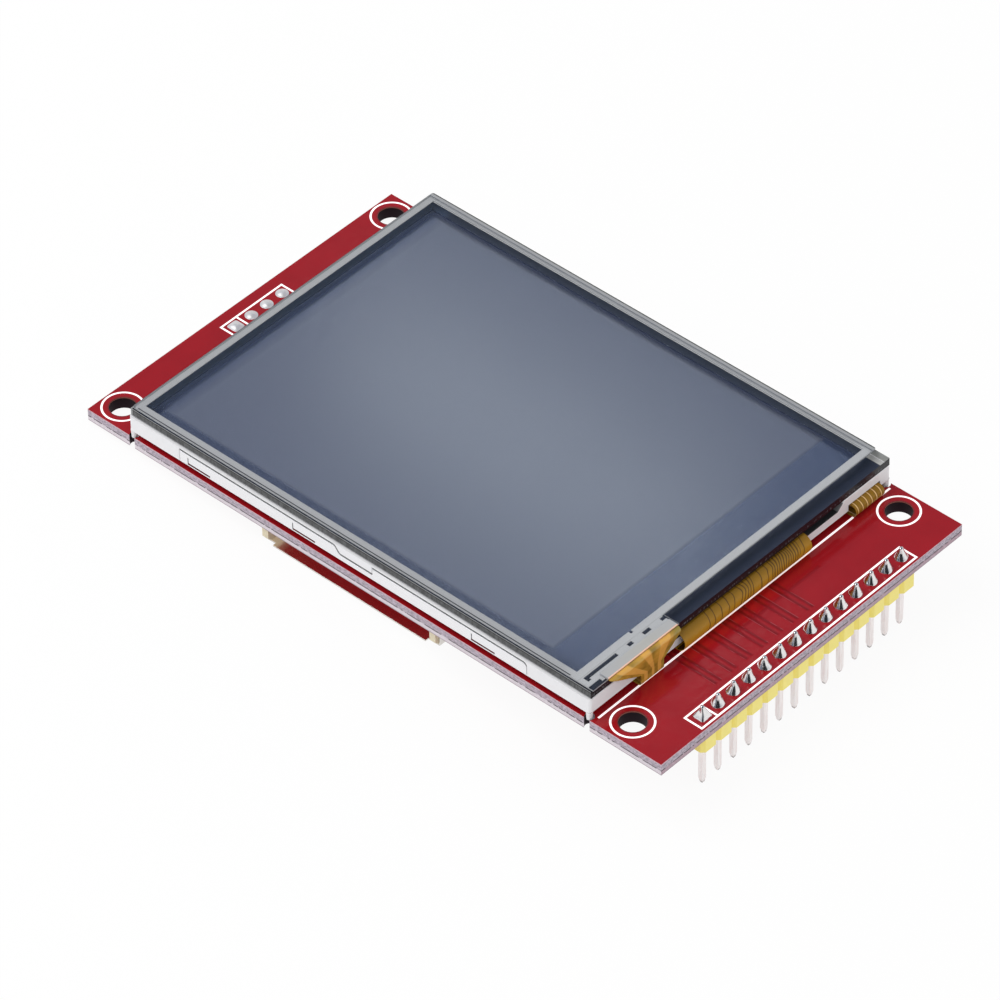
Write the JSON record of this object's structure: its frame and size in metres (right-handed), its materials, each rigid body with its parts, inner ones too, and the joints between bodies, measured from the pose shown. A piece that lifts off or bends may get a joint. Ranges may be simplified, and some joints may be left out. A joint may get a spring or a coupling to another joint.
{
  "type": "tft display module",
  "caption": "Colour touch display on a red circuit board, with a memory card socket underneath and a row of header pins along one end.",
  "frame": {"origin": "centre of the four mounting holes, on the underside of the circuit board", "axes": "+Z out of the screen, +X along the board towards the pin header, +Y across the board"},
  "size_m": [0.086, 0.05, 0.0143],
  "materials": {
    "board": "red solder mask on glass fibre board",
    "header_plastic": "pale yellow moulding",
    "pin_metal": "tinned square pins",
    "solder": "bright solder",
    "white_plastic": "white moulding",
    "tray_metal": "bright rolled sheet",
    "foam": "white foam tape",
    "reflector": "silver reflector film",
    "clear_plastic": "clear light guide",
    "light_film": "translucent film",
    "black_tape": "black tape",
    "lamp": "lamp body",
    "flex": "amber film over copper",
    "polariser": "dark polarising film",
    "panel_glass": "thin glass",
    "chip_silicon": "bare chip",
    "touch_glass": "clear soda glass",
    "touch_film": "satin film",
    "ring_print": "grey print",
    "socket_plastic": "cream moulding",
    "socket_metal": "nickel-plated sheet",
    "contact_metal": "gold-plated contacts",
    "package": "black moulded package",
    "lead_metal": "tinned leads",
    "resistor_body": "dark glazed ceramic",
    "capacitor_body": "tan ceramic"
  },
  "bodies": {
    "root": {"circuit_board": "board", "header_strip": "header_plastic", "header_solder": "solder", "card_pad_solder": "solder", "foam_tape": "foam", "rear_tray": "tray_metal", "backlight_frame": "white_plastic", "reflector_sheet": "reflector", "light_guide": "clear_plastic", "diffuser_sheet": "light_film", "lower_prism_sheet": "light_film", "upper_prism_sheet": "light_film", "rim_tape": "black_tape", "backlight_lamps": "lamp", "backlight_flex": "flex", "rear_polariser": "polariser", "array_glass": "panel_glass", "colour_filter_glass": "panel_glass", "front_polariser": "polariser", "driver_chip": "chip_silicon", "main_flex": "flex", "touch_mount_tape": "black_tape", "touch_glass": "touch_glass", "touch_ring": "ring_print", "touch_film": "touch_film", "touch_flex": "flex", "card_socket_base": "socket_plastic", "card_socket_cover": "socket_metal", "card_socket_contacts": "contact_metal", "touch_controller_body": "package", "touch_controller_leads": "lead_metal", "regulator_body": "package", "regulator_leads": "lead_metal", "transistor_body": "package", "transistor_leads": "lead_metal", "chip_resistors": "resistor_body", "resistor_ends": "lead_metal", "chip_capacitors": "capacitor_body", "capacitor_ends": "lead_metal", "header_pin_01": "pin_metal", "header_pin_02": "pin_metal", "header_pin_03": "pin_metal", "header_pin_04": "pin_metal", "header_pin_05": "pin_metal", "header_pin_06": "pin_metal", "header_pin_07": "pin_metal", "header_pin_08": "pin_metal", "header_pin_09": "pin_metal", "header_pin_10": "pin_metal", "header_pin_11": "pin_metal", "header_pin_12": "pin_metal", "header_pin_13": "pin_metal", "header_pin_14": "pin_metal"}
  },
  "joints": []
}
